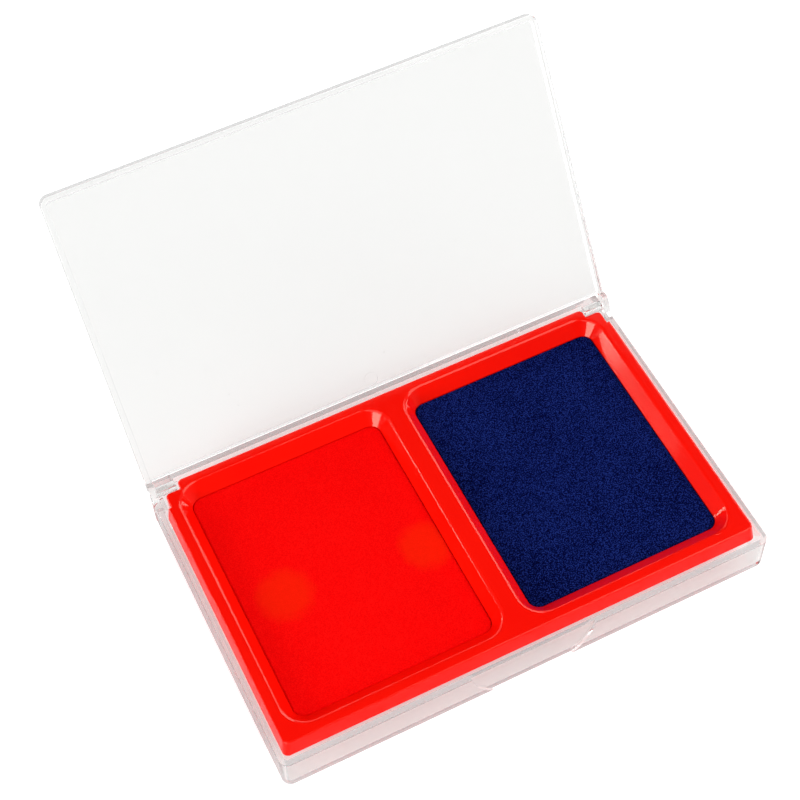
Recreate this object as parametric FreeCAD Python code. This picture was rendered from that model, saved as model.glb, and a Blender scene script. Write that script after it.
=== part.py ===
"""Two-colour stamp pad in a clear hinged case, opened on a desk.

Millimetres, +Z up. The origin is the centre of the case's underside. +X runs along the
hinge and +Y points to the hinge side. The lid is drawn open, leaning back past upright.
"""

import FreeCAD, Part
import math
import os

# Case
CASE_LENGTH = 138.0
CASE_WIDTH = 88.0
CASE_CORNER = 2.5
WALL = 1.5
BASE_FLOOR = 1.5
BASE_RIM_Z = 11.7
BASE_BOTTOM_ROUND = 0.35
RIM_ROUND = 0.25
REAR_WALL_TOP_Z = 14.5
CLOSED_TOP_Z = 14.8

# Hinge: pins on the lid's arms turn in eyes in the base's two rear ears
HINGE_Y = 41.5
HINGE_Z = 12.5
OPEN_ANGLE = 122.5
PIN_RADIUS = 1.0
PIN_CLEARANCE = 0.06
PIN_REACH = 3.4
PIN_ROOT = 0.5
EAR_INNER_X = 61.8
EAR_OUTER_X = 67.1
EAR_FRONT_Y = 40.0
ARM_GAP = 0.15
ARM_RADIUS = 2.3
ARM_DROP = 2.9
ARM_FRONT_Y = 37.8
ARM_FRONT_ROUND = 1.6
ARM_RECESS_Y = 37.2
ARM_RECESS_Z = 9.2
ARM_RECESS_WALL = 1.0

# Thumb scoop in the middle of the base's front wall
SCOOP_RADIUS = 17.6
SCOOP_CENTRE_Z = 13.4
SCOOP_DEPTH = 0.7

# Lid: a flat plate with a low skirt at its front and sides
LID_GAP = 0.1
LID_PLATE = 1.5
LID_REAR_Y = 38.2
LID_EDGE_ROUND = 0.3
GATE_MARK_RADIUS = 1.9
GATE_MARK_HEIGHT = 0.3
GATE_MARK_X = -1.8
GATE_MARK_Y = 35.9

# Ink tray: one moulded piece with a short skirt and two wells, which stand on the base's floor.
# It has a little play in the base and lies off centre in it
TRAY_TOP_Z = 13.2
TRAY_OFFSET_X = 0.3
TRAY_HALF_X = 66.4
TRAY_FRONT_Y = -39.3
TRAY_REAR_Y = 42.3
TRAY_FOOT_Z = 8.0
TRAY_FOOT_HALF_X = 67.15
TRAY_FOOT_FRONT_Y = -40.1
TRAY_CORNER = 1.6
TRAY_SHEET = 1.3
TRAY_EDGE_ROUND = 0.45
TRAY_EAR_NOTCH_X = 61.3
TRAY_EAR_NOTCH_Y = 39.6
TRAY_WALL_NOTCH_X = 65.7
TRAY_WALL_NOTCH_Y = 35.3
TRAY_NOTCH_ROUND = 1.2

# Pads: backing, ink core and fabric cover. The +X pad's limits, and the other is its mirror
PAD_INNER_X = 5.5
PAD_OUTER_X = 60.3
PAD_FRONT_Y = -32.9
PAD_REAR_Y = 36.6
PAD_CORNER = 3.0
PAD_TOP_Z = 9.5
PAD_BACKING = 0.8
PAD_FABRIC = 0.6

# Wells: straight-sided round the pad, then leaning out to a wider rim
WELL_FLOOR_Z = BASE_FLOOR + TRAY_SHEET
WELL_FOOT_Z = 9.4
WELL_PLAY = 0.15
WELL_RUN_INNER = 2.9
WELL_RUN_OUTER = 3.1
WELL_RUN_FRONT = 3.7
WELL_RUN_REAR = 3.4
WELL_RIM_CORNER = 7.0
WELL_RIM_ROUND = 1.0

HALF_X = CASE_LENGTH / 2
HALF_Y = CASE_WIDTH / 2
SIDES = (1, -1)
NEAR = 1e-4
PAST = 1.0


def vector(x, y, z):
    return FreeCAD.Vector(x, y, z)


def rounded_outline(x0, x1, y0, y1, z, radius):
    """Closed wire of a level rectangle with round corners."""
    cut = radius * (1 - math.sqrt(0.5))
    sides = [
        ((x0 + radius, y0), (x1 - radius, y0), (x1 - cut, y0 + cut)),
        ((x1, y0 + radius), (x1, y1 - radius), (x1 - cut, y1 - cut)),
        ((x1 - radius, y1), (x0 + radius, y1), (x0 + cut, y1 - cut)),
        ((x0, y1 - radius), (x0, y0 + radius), (x0 + cut, y0 + cut)),
    ]
    edges = []
    for index, (start, end, middle) in enumerate(sides):
        following = sides[(index + 1) % len(sides)][0]
        edges.append(Part.LineSegment(vector(*start, z), vector(*end, z)).toShape())
        arc = Part.Arc(vector(*end, z), vector(*middle, z), vector(*following, z))
        edges.append(arc.toShape())
    return Part.Wire(edges)


def rounded_block(x0, x1, y0, y1, z0, z1, radius):
    face = Part.Face(rounded_outline(x0, x1, y0, y1, z0, radius))
    return face.extrude(vector(0, 0, z1 - z0))


def block(x0, x1, y0, y1, z0, z1):
    return Part.makeBox(x1 - x0, y1 - y0, z1 - z0, vector(x0, y0, z0))


def cylinder_x(x0, x1, y, z, radius):
    return Part.makeCylinder(radius, x1 - x0, vector(x0, y, z), vector(1, 0, 0))


def tapered_block(low_outline, high_outline):
    return Part.makeLoft([low_outline, high_outline], True, True)


def on_side(side, shape):
    """A piece drawn for the +X side: side 1 leaves it there and side -1 mirrors it to -X."""
    return shape if side == 1 else shape.mirror(vector(0, 0, 0), vector(1, 0, 0))


def is_level(item, z):
    return abs(item.BoundBox.ZMin - z) < NEAR and abs(item.BoundBox.ZMax - z) < NEAR


def is_across(item, y):
    return abs(item.BoundBox.YMin - y) < NEAR and abs(item.BoundBox.YMax - y) < NEAR


def level_edges(shape, z, y=None):
    """Edges that lie level at z and, where y is given, run along X at y."""
    return [edge for edge in shape.Edges if is_level(edge, z) and (y is None or is_across(edge, y))]


def top_face_edges(shape, z, inner):
    """Edges of the level face at z: those round its holes, or else those round its outside."""
    face = next(f for f in shape.Faces if is_level(f, z))
    wires = [w for w in face.Wires if inner != w.isSame(face.OuterWire)]
    return [edge for wire in wires for edge in wire.Edges]


def opened(shape):
    """Turns a piece of the closed lid about the hinge into the open pose."""
    turned = shape.copy()
    turned.rotate(vector(0, HINGE_Y, HINGE_Z), vector(1, 0, 0), -OPEN_ANGLE)
    return turned


def make_base_shell():
    inner_x, inner_y = HALF_X - WALL, HALF_Y - WALL
    shell = rounded_block(-HALF_X, HALF_X, -HALF_Y, HALF_Y, 0, BASE_RIM_Z, CASE_CORNER)
    shell = shell.makeFillet(BASE_BOTTOM_ROUND, level_edges(shell, 0))
    shell = shell.makeFillet(RIM_ROUND, level_edges(shell, BASE_RIM_Z))
    cavity = rounded_block(
        -inner_x, inner_x, -inner_y, inner_y, BASE_FLOOR, BASE_RIM_Z + PAST, CASE_CORNER - WALL
    )
    rear_wall = block(-EAR_OUTER_X, EAR_OUTER_X, inner_y, HALF_Y, BASE_FLOOR, REAR_WALL_TOP_Z)
    shell = shell.cut(cavity).fuse(rear_wall)
    for side in SIDES:
        ear = block(EAR_INNER_X, EAR_OUTER_X, EAR_FRONT_Y, HALF_Y, BASE_FLOOR, REAR_WALL_TOP_Z)
        inner_wall = block(
            EAR_OUTER_X - ARM_RECESS_WALL, inner_x, ARM_RECESS_Y - WALL, HALF_Y, BASE_FLOOR, BASE_RIM_Z
        )
        recess = block(
            EAR_OUTER_X, HALF_X + PAST, ARM_RECESS_Y, HALF_Y + PAST, ARM_RECESS_Z, CLOSED_TOP_Z
        )
        eye = cylinder_x(
            EAR_INNER_X - PAST, EAR_OUTER_X + PAST, HINGE_Y, HINGE_Z, PIN_RADIUS + PIN_CLEARANCE
        )
        shell = shell.fuse(on_side(side, ear.fuse(inner_wall)))
        shell = shell.cut(on_side(side, recess)).cut(on_side(side, eye))
    scoop = Part.makeCylinder(
        SCOOP_RADIUS, SCOOP_DEPTH + PAST, vector(0, SCOOP_DEPTH - HALF_Y, SCOOP_CENTRE_Z), vector(0, -1, 0)
    )
    return shell.cut(scoop).removeSplitter()


def make_hinge_arm():
    """Round-ended arm at the end of the lid's +X skirt, with the pin on its inner face."""
    inner_x = EAR_OUTER_X + ARM_GAP
    low = HINGE_Z - ARM_DROP
    rear_y = HINGE_Y + ARM_RADIUS
    arm = block(inner_x, HALF_X, ARM_FRONT_Y, rear_y, low, CLOSED_TOP_Z)
    arm = arm.makeFillet(ARM_RADIUS, level_edges(arm, low, rear_y) + level_edges(arm, CLOSED_TOP_Z, rear_y))
    arm = arm.makeFillet(ARM_FRONT_ROUND, level_edges(arm, low, ARM_FRONT_Y))
    pin = cylinder_x(inner_x - PIN_REACH, inner_x + PIN_ROOT, HINGE_Y, HINGE_Z, PIN_RADIUS)
    return arm.fuse(pin)


def make_lid():
    skirt_z = BASE_RIM_Z + LID_GAP
    below, above = skirt_z - PAST, CLOSED_TOP_Z + PAST
    inner_x = EAR_OUTER_X + ARM_GAP
    lid = rounded_block(-HALF_X, HALF_X, -HALF_Y, HALF_Y, skirt_z, CLOSED_TOP_Z, CASE_CORNER)
    lid = lid.makeFillet(LID_EDGE_ROUND, level_edges(lid, CLOSED_TOP_Z))
    lid = lid.makeFillet(RIM_ROUND, level_edges(lid, skirt_z))
    inside = (WALL - HALF_X, HALF_X - WALL, WALL - HALF_Y, HALF_Y)
    under = rounded_block(*inside, below, CLOSED_TOP_Z - LID_PLATE, CASE_CORNER - WALL)
    lid = lid.cut(under)
    lid = lid.cut(block(-inner_x, inner_x, LID_REAR_Y, HALF_Y + PAST, below, above))
    lid = lid.cut(block(-HALF_X - PAST, HALF_X + PAST, ARM_FRONT_Y + PAST, HALF_Y + PAST, below, above))
    for side in SIDES:
        lid = lid.fuse(on_side(side, make_hinge_arm()))
    gate_mark = Part.makeCylinder(
        GATE_MARK_RADIUS, GATE_MARK_HEIGHT + PAST, vector(GATE_MARK_X, GATE_MARK_Y, CLOSED_TOP_Z - PAST)
    )
    return opened(lid.fuse(gate_mark).removeSplitter())


def well_shape(side, grow):
    """One well's pocket and the flare above it, or their outsides, a wall thickness of grow away."""
    around = WELL_PLAY + grow
    foot_limits = (PAD_INNER_X - around, PAD_OUTER_X + around, PAD_FRONT_Y - around, PAD_REAR_Y + around)
    foot_corner = PAD_CORNER + around
    pocket = rounded_block(*foot_limits, WELL_FLOOR_Z - grow, WELL_FOOT_Z, foot_corner)
    foot = rounded_outline(*foot_limits, WELL_FOOT_Z, foot_corner)
    rim = rounded_outline(
        PAD_INNER_X - WELL_RUN_INNER - grow,
        PAD_OUTER_X + WELL_RUN_OUTER + grow,
        PAD_FRONT_Y - WELL_RUN_FRONT - grow,
        PAD_REAR_Y + WELL_RUN_REAR + grow,
        TRAY_TOP_Z,
        WELL_RIM_CORNER + grow,
    )
    return on_side(side, pocket), on_side(side, tapered_block(foot, rim))


def tray_body(inset):
    """The tray's top and skirt as a solid block, drawn in by inset on its sides and top."""
    foot = rounded_outline(
        inset - TRAY_FOOT_HALF_X,
        TRAY_FOOT_HALF_X - inset,
        TRAY_FOOT_FRONT_Y + inset,
        TRAY_REAR_Y - inset,
        TRAY_FOOT_Z,
        TRAY_CORNER,
    )
    top = rounded_outline(
        inset - TRAY_HALF_X,
        TRAY_HALF_X - inset,
        TRAY_FRONT_Y + inset,
        TRAY_REAR_Y - inset,
        TRAY_TOP_Z - inset,
        TRAY_CORNER,
    )
    body = tapered_block(foot, top)
    beyond = (TRAY_FOOT_HALF_X + PAST, TRAY_REAR_Y + PAST, TRAY_FOOT_Z - PAST, TRAY_TOP_Z + PAST)
    for notch_x, notch_y in ((TRAY_EAR_NOTCH_X, TRAY_EAR_NOTCH_Y), (TRAY_WALL_NOTCH_X, TRAY_WALL_NOTCH_Y)):
        notch = block(notch_x - inset, beyond[0], notch_y - inset, *beyond[1:])
        for side in SIDES:
            body = body.cut(on_side(side, notch))
    return body


def notch_corners(body):
    """The upright outer edges of the steps that clear the base's ears."""
    corners = ((TRAY_EAR_NOTCH_X, TRAY_REAR_Y), (TRAY_WALL_NOTCH_X, TRAY_EAR_NOTCH_Y))
    edges = []
    for edge in body.Edges:
        middle = edge.BoundBox.Center
        for x, y in corners:
            if abs(abs(middle.x) - x) < NEAR and abs(middle.y - y) < NEAR:
                edges.append(edge)
    return edges


def make_ink_tray():
    tray = tray_body(0)
    tray = tray.makeFillet(TRAY_NOTCH_ROUND, notch_corners(tray))
    hollow = tray_body(TRAY_SHEET)
    for side in SIDES:
        pocket, flare = well_shape(side, 0)
        pocket_outside, flare_outside = well_shape(side, TRAY_SHEET)
        tray = tray.fuse(pocket_outside).cut(pocket).cut(flare)
        hollow = hollow.cut(pocket_outside).cut(flare_outside)
    tray = tray.removeSplitter()
    tray = tray.makeFillet(TRAY_EDGE_ROUND, top_face_edges(tray, TRAY_TOP_Z, inner=False))
    tray = tray.makeFillet(WELL_RIM_ROUND, top_face_edges(tray, TRAY_TOP_Z, inner=True))
    return tray.cut(hollow)


def make_pad(side):
    """A stiff backing, the ink-soaked core on it, and the fabric over the core's top and sides."""
    core_limits = (
        PAD_INNER_X + PAD_FABRIC,
        PAD_OUTER_X - PAD_FABRIC,
        PAD_FRONT_Y + PAD_FABRIC,
        PAD_REAR_Y - PAD_FABRIC,
    )
    core_low, core_high = WELL_FLOOR_Z + PAD_BACKING, PAD_TOP_Z - PAD_FABRIC
    core_corner = PAD_CORNER - PAD_FABRIC
    backing = rounded_block(*core_limits, WELL_FLOOR_Z, core_low, core_corner)
    core = rounded_block(*core_limits, core_low, core_high, core_corner)
    cover = rounded_block(
        PAD_INNER_X, PAD_OUTER_X, PAD_FRONT_Y, PAD_REAR_Y, WELL_FLOOR_Z, PAD_TOP_Z, PAD_CORNER
    )
    cover = cover.makeFillet(PAD_FABRIC, level_edges(cover, PAD_TOP_Z))
    layers = {"backing": backing, "core": core, "cover": cover.cut(backing.fuse(core))}
    return {name: on_side(side, shape) for name, shape in layers.items()}


def make_tray_and_pads():
    nodes = {"ink_tray": make_ink_tray()}
    for colour, side in (("blue", 1), ("red", -1)):
        for layer, shape in make_pad(side).items():
            nodes[colour + "_pad_" + layer] = shape
    for shape in nodes.values():
        shape.translate(vector(TRAY_OFFSET_X, 0, 0))
    return nodes


def main():
    nodes = {"base_shell": make_base_shell(), "lid": make_lid(), **make_tray_and_pads()}
    os.makedirs("parts", exist_ok=True)
    for name, shape in nodes.items():
        shape.exportStep("parts/" + name + ".step")


main()
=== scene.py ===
"""Looks of the two-colour stamp pad: a clear case, a glossy red tray and two felt ink pads.

Metres, in the frame of the CAD model: +X along the hinge, +Y to the hinge, +Z up.
"""

import math

import bpy
import numpy as np
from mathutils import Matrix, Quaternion, Vector, noise


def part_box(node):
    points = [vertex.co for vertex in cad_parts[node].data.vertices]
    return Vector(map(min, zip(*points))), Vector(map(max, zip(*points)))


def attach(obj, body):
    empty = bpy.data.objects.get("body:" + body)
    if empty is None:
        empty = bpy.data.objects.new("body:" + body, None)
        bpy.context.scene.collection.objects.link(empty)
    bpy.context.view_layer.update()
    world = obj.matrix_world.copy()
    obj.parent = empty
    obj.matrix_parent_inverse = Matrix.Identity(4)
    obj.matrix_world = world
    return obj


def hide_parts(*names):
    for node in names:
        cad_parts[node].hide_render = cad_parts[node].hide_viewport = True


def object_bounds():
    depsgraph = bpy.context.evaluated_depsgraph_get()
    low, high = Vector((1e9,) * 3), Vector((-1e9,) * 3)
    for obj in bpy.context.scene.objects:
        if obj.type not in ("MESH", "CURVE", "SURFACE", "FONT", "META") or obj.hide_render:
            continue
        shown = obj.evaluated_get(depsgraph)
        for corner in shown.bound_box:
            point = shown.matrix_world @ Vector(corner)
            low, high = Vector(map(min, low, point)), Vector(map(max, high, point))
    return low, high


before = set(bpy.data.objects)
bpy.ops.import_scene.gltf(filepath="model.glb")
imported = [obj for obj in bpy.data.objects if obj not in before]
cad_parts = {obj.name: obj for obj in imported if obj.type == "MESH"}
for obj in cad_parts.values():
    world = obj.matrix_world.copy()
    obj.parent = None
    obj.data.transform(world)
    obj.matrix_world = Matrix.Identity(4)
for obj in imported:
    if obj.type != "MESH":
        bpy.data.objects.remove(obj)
cad_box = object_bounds()

MM = 0.001

# Camera: lens and sensor in millimetres
CAMERA_PLACE = Vector((-0.1071, -0.2137, 0.4193))
CAMERA_TARGET = Vector((0.0066, 0.0463, 0.0))
CAMERA_ROLL = math.radians(-3.09)
CAMERA_LENS = 81.17
CAMERA_SENSOR = 36.0
CAMERA_NEAR = 0.01

# Clear plastic: light that has bounced more often than this passes straight on, with this tint
STRAIGHT_DEPTH = 2.5
STRAIGHT_TINT = (0.95, 0.95, 0.95, 1.0)

# Felt pads: the fabric is drawn a little thinner than in the CAD, to stay clear of its filling
PAD_CORNER = 3.0 * MM
PAD_FABRIC = 0.54 * MM
PAD_EDGE_ROUND = 0.35 * MM
PAD_EDGE_DROP = 0.08 * MM
PAD_CROWN = 0.15 * MM
PAD_CROWN_POWER = 3
PAD_WAIST = 0.12 * MM
PAD_GRID = 0.4 * MM
PAD_EDGE_LINES = 8
PAD_SIDE_ROWS = 8
FELT_WAVE = 0.04 * MM
FELT_WAVE_SPAN = 11 * MM
FELT_LUMP = 0.035 * MM
FELT_LUMP_SPAN = 1.1 * MM
CORE_GAP = 0.05 * MM

# Pressed places on the red pad: how far along its x and y sides, as shares, and radius; their
# centres lie a little above its top
TOUCHES = [((0.2044, 0.4705), 7.5 * MM), ((0.9069, 0.423), 7 * MM)]
TOUCH_RISE = 0.1 * MM

# Floor, and a hair's gap under the case so that the two never share a plane
FLOOR_HALF = 1.3
FLOOR_GAP = 0.2 * MM

# Light that the floor gives off, and what it adds where the camera sees it directly
FLOOR_GLOW = 0.24
FLOOR_SHINE = 0.3

# The world's light where it is looked at, and where gloss mirrors it, by how far to the side
SKY_WHITE = 1.1
SKY_FADE = {"From Min": 0.25, "From Max": 0.8, "To Min": 0.06, "To Max": 0.25}

# How far from the object the lamps stand
HIGH_LAMPS = 1.5
LOW_LAMPS = 1.2

WHITE = (1.0, 1.0, 1.0, 1.0)

# Sockets of a colour Mix node: its two colours and its result
MIX_COLOURS = (6, 7)
MIX_RESULT = 2


# ---------------------------------------------------------------- material tools


class Shader:
    """One material's node tree, with short calls for the nodes that it needs."""

    def __init__(self, name):
        self.material = bpy.data.materials.new(name)
        self.material.use_nodes = True
        self.tree = self.material.node_tree
        self.principled = self.tree.nodes["Principled BSDF"]
        self.output = self.tree.nodes["Material Output"]
        self.place = self.add("TexCoord").outputs["Object"]
        self.tilted = self.stretched((1.0, 1.0, 1.0), (0.5, 0.4, 0.3))

    def add(self, kind, **settings):
        """A new node; kind is its type's name without ShaderNode."""
        node = self.tree.nodes.new("ShaderNode" + kind)
        for name, value in settings.items():
            setattr(node, name, value)
        return node

    def feed(self, socket, value):
        """Links a socket to another one's output, or sets its value."""
        if isinstance(value, bpy.types.NodeSocket):
            self.tree.links.new(value, socket)
        else:
            socket.default_value = value

    def surface(self, **values):
        """Sets the Principled shader's sockets; a name's underscores stand for spaces."""
        for name, value in values.items():
            self.feed(self.principled.inputs[name.replace("_", " ")], value)

    def stretched(self, stretch, turn):
        """Place, turned and stretched; a turn keeps noise off the planes where it fades."""
        mapping = self.add("Mapping")
        self.feed(mapping.inputs["Vector"], self.place)
        mapping.inputs["Scale"].default_value = stretch
        mapping.inputs["Rotation"].default_value = turn
        return mapping.outputs["Vector"]

    def noise(self, size, detail=2.0, roughness=0.5, distortion=0.0, where=None):
        """Smooth noise, 0 to 1, with features about size metres across."""
        node = self.add("TexNoise")
        self.feed(node.inputs["Vector"], where or self.tilted)
        node.inputs["Scale"].default_value = 1.0 / size
        node.inputs["Detail"].default_value = detail
        node.inputs["Roughness"].default_value = roughness
        node.inputs["Distortion"].default_value = distortion
        return node.outputs["Fac"]

    def cells(self, size):
        """Distance to the nearest of scattered points about size metres apart, in those units."""
        node = self.add("TexVoronoi")
        self.feed(node.inputs["Vector"], self.place)
        node.inputs["Scale"].default_value = 1.0 / size
        return node.outputs["Distance"]

    def remap(self, value, low, high, to_low, to_high):
        """Takes a value from the span low to high over to to_low to to_high, and stops there."""
        node = self.add("MapRange", clamp=True)
        names = ("Value", "From Min", "From Max", "To Min", "To Max")
        for name, part in zip(names, (value, low, high, to_low, to_high)):
            self.feed(node.inputs[name], part)
        return node.outputs["Result"]

    def math(self, operation, first, second):
        """A sum, product or comparison of two values."""
        node = self.add("Math", operation=operation)
        self.feed(node.inputs[0], first)
        self.feed(node.inputs[1], second)
        return node.outputs["Value"]

    def weighted(self, parts):
        """Sum of values times their weights."""
        total = None
        for value, weight in parts:
            share = self.math("MULTIPLY", value, weight)
            total = share if total is None else self.math("ADD", total, share)
        return total

    def ramp(self, value, stops):
        """Colour by value; stops are (position, (red, green, blue))."""
        node = self.add("ValToRGB")
        elements = node.color_ramp.elements
        while len(elements) < len(stops):
            elements.new(1.0)
        for element, (position, colour) in zip(elements, stops):
            element.position = position
            element.color = (*colour, 1.0)
        self.feed(node.inputs["Fac"], value)
        return node.outputs["Color"]

    def mix(self, factor, first, second):
        """The first colour at factor 0, the second at 1; each is a socket or (red, green, blue)."""
        node = self.add("Mix", data_type="RGBA")
        self.feed(node.inputs["Factor"], factor)
        for index, value in zip(MIX_COLOURS, (first, second)):
            is_socket = isinstance(value, bpy.types.NodeSocket)
            self.feed(node.inputs[index], value if is_socket else (*value, 1.0))
        return node.outputs[MIX_RESULT]

    def bump(self, height, strength, distance, under=None):
        """A normal bent by height, on top of the bump under it."""
        node = self.add("Bump")
        node.inputs["Strength"].default_value = strength
        node.inputs["Distance"].default_value = distance
        self.feed(node.inputs["Height"], height)
        if under:
            self.feed(node.inputs["Normal"], under)
        return node.outputs["Normal"]


# ---------------------------------------------------------------- materials


def clear_plastic(name):
    """Polished clear polystyrene with faint smears, hairline scratches and dust."""
    shader = Shader(name)
    smears = shader.noise(14 * MM, detail=4.0, distortion=0.6)
    along = shader.stretched((0.03, 1.0, 1.0), (0.0, 0.0, 0.5))
    scratches = shader.noise(0.5 * MM, detail=1.0, where=along)
    dust = shader.remap(shader.cells(6 * MM), 0.02, 0.035, 1.0, 0.0)
    clean, dusty = (0.875, 0.878, 0.868), (0.6, 0.6, 0.58)
    shader.surface(
        Base_Color=shader.mix(dust, clean, dusty),
        Roughness=shader.remap(smears, 0.45, 0.75, 0.004, 0.03),
        Transmission_Weight=1.0,
        IOR=1.5,
        Normal=shader.bump(shader.remap(scratches, 0.7, 0.76, 0.0, 1.0), 0.06, 0.02 * MM),
    )
    return let_lamps_through(shader)


def let_lamps_through(shader):
    """Clear plastic throws almost no shadow, so lamps and soft bounced light pass straight.

    So does light that has bounced a few times, or a wall that has trapped it would look black.
    """
    path = shader.add("LightPath")
    passing = shader.math("MAXIMUM", path.outputs["Is Shadow Ray"], path.outputs["Is Diffuse Ray"])
    trapped = shader.math("GREATER_THAN", path.outputs["Ray Depth"], STRAIGHT_DEPTH)
    passing = shader.math("MAXIMUM", passing, trapped)
    open_way = shader.add("BsdfTransparent")
    open_way.inputs["Color"].default_value = STRAIGHT_TINT
    choice = shader.add("MixShader")
    shader.feed(choice.inputs["Fac"], passing)
    shader.feed(choice.inputs[1], shader.principled.outputs["BSDF"])
    shader.feed(choice.inputs[2], open_way.outputs["BSDF"])
    shader.feed(shader.output.inputs["Surface"], choice.outputs["Shader"])
    return shader.material


def red_plastic(name):
    """Glossy injection-moulded tray: even orange-red with a faint ripple and fine rub marks.

    Its upright sides mirror less than its level and sloping faces.
    """
    shader = Shader(name)
    tint = shader.noise(22 * MM, detail=3.0)
    ripple = shader.noise(5 * MM, detail=1.0)
    along = shader.stretched((1.0, 0.08, 1.0), (0.0, 0.0, 0.3))
    rubs = shader.noise(0.35 * MM, detail=2.0, where=along)
    facing = shader.add("SeparateXYZ")
    shader.feed(facing.inputs["Vector"], shader.add("NewGeometry").outputs["True Normal"])
    deep, bright = (0.93, 0.003, 0.0004), (0.97, 0.005, 0.0008)
    shader.surface(
        Base_Color=shader.ramp(tint, [(0.3, deep), (0.7, bright)]),
        Roughness=shader.remap(rubs, 0.4, 0.8, 0.06, 0.16),
        IOR=1.5,
        Specular_IOR_Level=shader.remap(facing.outputs["Z"], 0.2, 0.5, 0.1, 0.5),
        Specular_Tint=(1.0, 0.8, 0.65, 1.0),
        Normal=shader.bump(ripple, 0.15, 0.05 * MM),
    )
    return shader.material


def felt(name, dark, middle, light, marks=()):
    """Short-fibred felt, damp with ink: crisp fine grain, soft clumps and broad uneven patches."""
    shader = Shader(name)
    grain = shader.noise(0.3 * MM, detail=0.0)
    clumps = shader.noise(1.3 * MM, detail=2.0)
    patches = shader.noise(20 * MM, detail=2.0)
    blend = shader.weighted([(grain, 0.8), (clumps, 0.07), (patches, 0.13)])
    colour = shader.ramp(blend, [(0.34, dark), (0.48, middle), (0.64, light)])
    for centre, radius, tone in marks:
        colour = touch_mark(shader, colour, centre, radius, tone)
    fibres = shader.noise(0.45 * MM, detail=2.0, roughness=0.8, distortion=0.5)
    shader.surface(
        Base_Color=colour,
        Roughness=0.85,
        Specular_IOR_Level=0.015,
        Normal=shader.bump(fibres, 0.5, 0.15 * MM, shader.bump(clumps, 0.3, 0.3 * MM)),
    )
    return shader.material


def touch_mark(shader, colour, centre, radius, tone):
    """A soft round place where the felt has been pressed and looks a little lighter."""
    away = shader.add("VectorMath", operation="DISTANCE")
    shader.feed(away.inputs[0], shader.place)
    away.inputs[1].default_value = centre
    ragged = shader.math("MULTIPLY", shader.noise(2.5 * MM, detail=3.0), 0.5 * radius)
    reach = shader.math("ADD", away.outputs["Value"], ragged)
    share = shader.remap(reach, 0.95 * radius, 1.4 * radius, 0.6, 0.0)
    return shader.mix(share, colour, tone)


def inked_sheet(name, ink):
    """The stiff off-white sheet under a pad, stained where ink has crept round it."""
    shader = Shader(name)
    stain = shader.remap(shader.noise(7 * MM, detail=5.0, roughness=0.7), 0.4, 0.62, 0.0, 0.9)
    fine = shader.noise(0.4 * MM, detail=3.0)
    off_white = (0.62, 0.61, 0.57)
    shader.surface(
        Base_Color=shader.mix(stain, off_white, ink),
        Roughness=shader.remap(fine, 0.3, 0.7, 0.45, 0.7),
        Normal=shader.bump(fine, 0.2, 0.03 * MM),
    )
    return shader.material


def pale_floor(name):
    """White paper, a little brighter where it's looked at and dimmer where gloss mirrors it.

    A ray bent by rough clear plastic counts as glossy too, so it is told from a mirrored one.
    """
    shader = Shader(name)
    path = shader.add("LightPath")
    bent = path.outputs["Is Transmission Ray"]
    mirrored = shader.math("GREATER_THAN", path.outputs["Is Glossy Ray"], bent)
    looked_at = shader.math("MULTIPLY", path.outputs["Is Camera Ray"], FLOOR_SHINE)
    cloudy = shader.noise(400 * MM)
    paper = shader.ramp(cloudy, [(0.3, (0.87, 0.87, 0.87)), (0.7, (0.88, 0.88, 0.88))])
    dimmed = (0.6, 0.6, 0.6)
    shader.surface(
        Base_Color=shader.mix(mirrored, paper, dimmed),
        Roughness=0.9,
        Specular_IOR_Level=0.1,
        Emission_Color=WHITE,
        Emission_Strength=shader.math("ADD", looked_at, FLOOR_GLOW),
    )
    return shader.material


# ---------------------------------------------------------------- pads


def graded_lines(half, step, edge):
    """Places from -half to half, step apart, and closer together within edge of both ends."""
    inner = half - edge
    count = max(2, round(2 * inner / step))
    middle = np.linspace(-inner, inner, count + 1)
    border = inner + edge * np.sin(np.linspace(0, math.pi / 2, PAD_EDGE_LINES + 1)[1:])
    return np.concatenate([-border[::-1], middle, border])


def round_corners(x, y, half_x, half_y, radius):
    """Moves the points of a rectangle so that its outline gets round corners."""
    a = np.clip((np.abs(x) - (half_x - radius)) / radius, 0, 1)
    b = np.clip((np.abs(y) - (half_y - radius)) / radius, 0, 1)
    inside_x = np.minimum(np.abs(x), half_x - radius)
    inside_y = np.minimum(np.abs(y), half_y - radius)
    new_x = inside_x + radius * a * np.sqrt(1 - b * b / 2)
    new_y = inside_y + radius * b * np.sqrt(1 - a * a / 2)
    return np.sign(x) * new_x, np.sign(y) * new_y


def depth_inside(x, y, half_x, half_y, radius):
    """How far a point is inside the rounded outline."""
    qx = np.abs(x) - (half_x - radius)
    qy = np.abs(y) - (half_y - radius)
    outside = np.hypot(np.maximum(qx, 0), np.maximum(qy, 0))
    inside = np.minimum(np.maximum(qx, qy), 0)
    return radius - outside - inside


def felt_height(x, y, seed):
    """Slow waves and small lumps of the felt's surface."""
    waves = noise.noise(Vector((x, y, seed)) / FELT_WAVE_SPAN)
    lumps = noise.noise(Vector((x, y, seed)) / FELT_LUMP_SPAN)
    return FELT_WAVE * waves + FELT_LUMP * lumps


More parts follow.
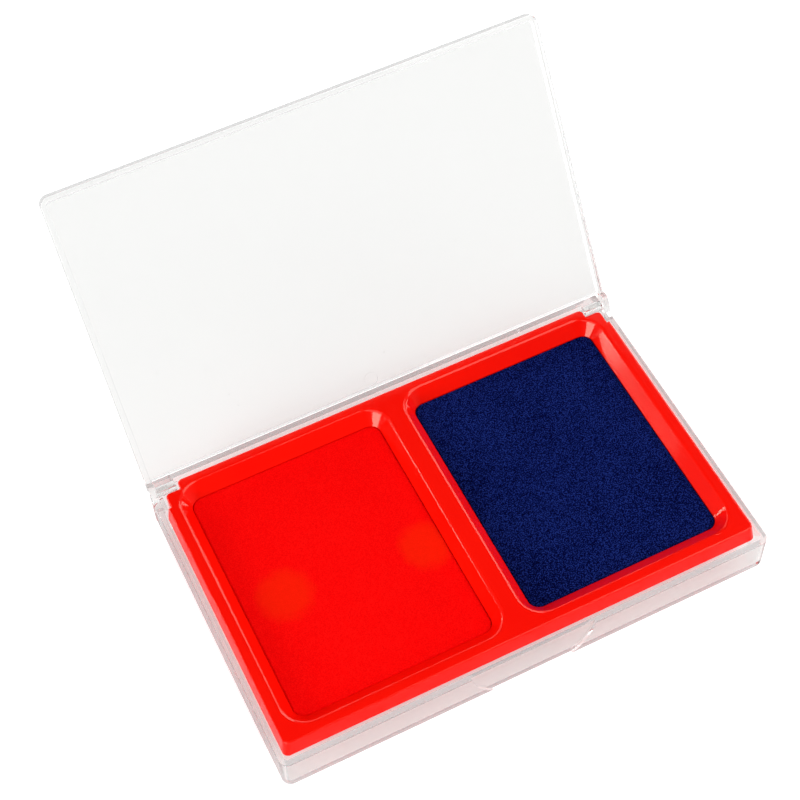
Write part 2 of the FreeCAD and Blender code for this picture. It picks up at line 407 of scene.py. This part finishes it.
def pad_points(low, high, inset, seed=None):
    """Points of a pad's crowned top and its sides, and how many lines the top's grid has.

    The top's points come first, row by row; then each row of the sides, round the outline.
    """
    centre = (low + high) / 2
    half_x, half_y = (high.x - low.x) / 2, (high.y - low.y) / 2
    xs = graded_lines(half_x, PAD_GRID, PAD_CORNER)
    ys = graded_lines(half_y, PAD_GRID, PAD_CORNER)
    flat_x, flat_y = (grid.ravel() for grid in np.meshgrid(xs, ys, indexing="ij"))
    x, y = round_corners(flat_x, flat_y, half_x, half_y, PAD_CORNER)
    z = high.z - PAD_EDGE_DROP + top_height(x, y, half_x, half_y) - inset
    if seed is not None:
        z += [felt_height(px, py, seed) for px, py in zip(x, y)]
    x, y = x * (1 - inset / half_x), y * (1 - inset / half_y)
    top = np.column_stack([x + centre.x, y + centre.y, z])

    edge = top[outline_indices(len(xs), len(ys))]
    outward = edge[:, :2] - (centre.x, centre.y)
    outward = np.sign(outward) * (np.abs(outward) > (half_x - PAD_CORNER, half_y - PAD_CORNER))
    return np.vstack([top, *side_rows(edge, outward, low.z)]), len(xs), len(ys)


def top_height(x, y, half_x, half_y):
    """The top's crown, and its edge rounded off."""
    depth = np.clip(depth_inside(x, y, half_x, half_y, PAD_CORNER), 0, None)
    short = np.clip(PAD_EDGE_ROUND - depth, 0, None)
    rounding = PAD_EDGE_ROUND - np.sqrt(PAD_EDGE_ROUND**2 - short**2)
    swell_x = 1 - np.abs(x / half_x) ** PAD_CROWN_POWER
    swell_y = 1 - np.abs(y / half_y) ** PAD_CROWN_POWER
    return PAD_CROWN * swell_x * swell_y - rounding


def side_rows(edge, outward, bottom):
    """Rows of points from under the top's edge down to the bottom, drawn in at half height."""
    rows = []
    for row in range(1, PAD_SIDE_ROWS + 1):
        share = row / PAD_SIDE_ROWS
        ring = edge.copy()
        ring[:, :2] -= outward * PAD_WAIST * math.sin(math.pi * share)
        ring[:, 2] += (bottom - edge[:, 2]) * share
        rows.append(ring)
    return rows


def outline_indices(nx, ny):
    """Indices of a grid's border points, once round, counter-clockwise seen from above."""
    front = [i * ny for i in range(nx)]
    right = [(nx - 1) * ny + j for j in range(1, ny)]
    rear = [i * ny + ny - 1 for i in range(nx - 2, -1, -1)]
    left = list(range(ny - 2, 0, -1))
    return front + right + rear + left


def pad_faces(nx, ny):
    """Faces of pad_points, facing out, and the indices of the lowest row of the sides."""
    faces = []
    for i in range(nx - 1):
        for j in range(ny - 1):
            a = i * ny + j
            faces.append((a, a + ny, a + ny + 1, a + 1))
    above = outline_indices(nx, ny)
    count = len(above)
    for row in range(PAD_SIDE_ROWS):
        start = nx * ny + row * count
        below = list(range(start, start + count))
        for k in range(count):
            following = (k + 1) % count
            faces.append((above[k], below[k], below[following], above[following]))
        above = below
    return faces, above


def new_mesh(name, points, faces, material):
    """A smooth piece made of these points and faces."""
    mesh = bpy.data.meshes.new(name)
    mesh.from_pydata([tuple(point) for point in points], [], faces)
    mesh.update()
    mesh.shade_smooth()
    mesh.materials.append(material)
    piece = bpy.data.objects.new(name, mesh)
    bpy.context.scene.collection.objects.link(piece)
    return piece


def fabric_cover(name, node, seed, material):
    """The felt over a pad's top and sides, with its thickness, open underneath."""
    low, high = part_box(node)
    outer, nx, ny = pad_points(low, high, 0.0, seed)
    inner, _, _ = pad_points(low, high, PAD_FABRIC)
    faces, hem = pad_faces(nx, ny)
    count = len(outer)
    turned = [tuple(index + count for index in reversed(face)) for face in faces]
    rim = []
    for a, b in zip(hem, hem[1:] + hem[:1]):
        rim.append((a, a + count, b + count, b))
    return new_mesh(name, np.vstack([outer, inner]), faces + turned + rim, material)


def soft_core(name, node, seed, material):
    """The closed felt block inside a pad."""
    low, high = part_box(node)
    points, nx, ny = pad_points(low, high - Vector((0, 0, CORE_GAP)), 0.0, seed)
    faces, hem = pad_faces(nx, ny)
    faces.append(tuple(reversed(hem)))
    return new_mesh(name, points, faces, material)


def make_pad(colour, seed, tones, marks=()):
    """One pad: its fabric, its filling and the sheet under them."""
    cover_felt = felt(colour + "_felt", marks=marks, **tones)
    cover = fabric_cover(colour + "_pad_fabric", colour + "_pad_cover", seed, cover_felt)
    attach(cover, "case")
    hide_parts(colour + "_pad_cover")
    core_felt = felt(colour + "_core_felt", **tones)
    core = soft_core(colour + "_pad_filling", colour + "_pad_core", seed + 2, core_felt)
    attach(core, "case")
    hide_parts(colour + "_pad_core")
    dress(colour + "_pad_backing", inked_sheet(colour + "_backing_sheet", tones["middle"]))


def pressed_places(worn):
    """Where the red pad has been pressed: centre, radius and tone of each place."""
    low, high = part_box("red_pad_cover")
    places = []
    for (along_x, along_y), radius in TOUCHES:
        x = low.x + along_x * (high.x - low.x)
        y = low.y + along_y * (high.y - low.y)
        places.append(((x, y, high.z + TOUCH_RISE), radius, worn))
    return places


def make_pads():
    """The two pads, with their inks' tones in the felt."""
    red = {
        "dark": (0.9, 0.001, 0.0012),
        "middle": (0.95, 0.0014, 0.0015),
        "light": (1.0, 0.0045, 0.0036),
    }
    blue = {
        "dark": (0.0001, 0.0002, 0.014),
        "middle": (0.0003, 0.0021, 0.042),
        "light": (0.01, 0.024, 0.17),
    }
    worn = (0.94, 0.016, 0.0012)
    make_pad("red", 0, red, pressed_places(worn))
    make_pad("blue", 1, blue)


# ---------------------------------------------------------------- case


def dress(node, material):
    """Gives a CAD node its material."""
    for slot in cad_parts[node].material_slots:
        slot.material = material


def dress_case():
    dress("base_shell", clear_plastic("clear_base"))
    dress("lid", clear_plastic("clear_lid"))
    dress("ink_tray", red_plastic("tray_red"))


# ---------------------------------------------------------------- stage


def make_floor():
    half, z = FLOOR_HALF, -FLOOR_GAP
    points = [(-half, -half, z), (half, -half, z), (half, half, z), (-half, half, z)]
    new_mesh("floor", points, [(0, 1, 2, 3)], pale_floor("floor_white"))


def softbox(name, direction, distance, width, height, power):
    """A rectangular lamp that shines at the object from that direction."""
    middle = (cad_box[0] + cad_box[1]) / 2
    lamp = bpy.data.lights.new(name, "AREA")
    lamp.shape = "RECTANGLE"
    lamp.size, lamp.size_y = width, height
    lamp.energy = power
    holder = bpy.data.objects.new(name, lamp)
    bpy.context.scene.collection.objects.link(holder)
    towards = Vector(direction).normalized()
    holder.location = middle + towards * distance
    holder.rotation_mode = "QUATERNION"
    holder.rotation_quaternion = towards.to_track_quat("Z", "Y")


def sky(world):
    """A dim room, brighter to the sides, for the gloss to mirror; white where it's looked at."""
    tree = world.node_tree

    def add(kind):
        return tree.nodes.new("ShaderNode" + kind)

    place, split, sideways, fade = add("TexCoord"), add("SeparateXYZ"), add("Math"), add("MapRange")
    tree.links.new(place.outputs["Generated"], split.inputs["Vector"])
    sideways.operation = "ABSOLUTE"
    tree.links.new(split.outputs["X"], sideways.inputs[0])
    for name, value in SKY_FADE.items():
        fade.inputs[name].default_value = value
    tree.links.new(sideways.outputs["Value"], fade.inputs["Value"])
    path, looked_at, choice = add("LightPath"), add("Math"), add("Mix")
    looked_at.operation = "MAXIMUM"
    tree.links.new(path.outputs["Is Camera Ray"], looked_at.inputs[0])
    tree.links.new(path.outputs["Is Transmission Ray"], looked_at.inputs[1])
    tree.links.new(looked_at.outputs["Value"], choice.inputs["Factor"])
    tree.links.new(fade.outputs["Result"], choice.inputs["A"])
    choice.inputs["B"].default_value = SKY_WHITE
    background = tree.nodes["Background"]
    tree.links.new(choice.outputs["Result"], background.inputs["Strength"])
    background.inputs["Color"].default_value = WHITE


def light_studio():
    world = bpy.data.worlds.new("studio")
    world.use_nodes = True
    sky(world)
    bpy.context.scene.world = world
    softbox("key", (0.5, -0.45, 0.74), HIGH_LAMPS, width=1.2, height=1.2, power=12.0)
    softbox("rear_right", (0.6, 0.55, 0.58), HIGH_LAMPS, width=0.8, height=0.8, power=6.5)
    softbox("fill", (-0.55, -0.35, 0.76), HIGH_LAMPS, width=1.2, height=1.2, power=7.2)
    softbox("rear_left", (-0.71, 0.7, 0.14), LOW_LAMPS, width=0.62, height=0.34, power=5.2)
    softbox("front_left", (-0.86, -0.45, 0.25), LOW_LAMPS, width=0.75, height=0.46, power=8.0)
    softbox("right", (0.98, -0.1, 0.12), LOW_LAMPS, width=0.5, height=0.28, power=4.0)


def place_camera():
    data = bpy.data.cameras.new("camera")
    data.lens = CAMERA_LENS
    data.sensor_width = CAMERA_SENSOR
    data.clip_start = CAMERA_NEAR
    camera = bpy.data.objects.new("camera", data)
    bpy.context.scene.collection.objects.link(camera)
    camera.location = CAMERA_PLACE
    aim = (CAMERA_TARGET - CAMERA_PLACE).to_track_quat("-Z", "Y")
    camera.rotation_mode = "QUATERNION"
    camera.rotation_quaternion = aim @ Quaternion((0, 0, 1), CAMERA_ROLL)
    bpy.context.scene.camera = camera
    bpy.context.scene.view_settings.view_transform = "Standard"


place_camera()
make_floor()
light_studio()
dress_case()
make_pads()
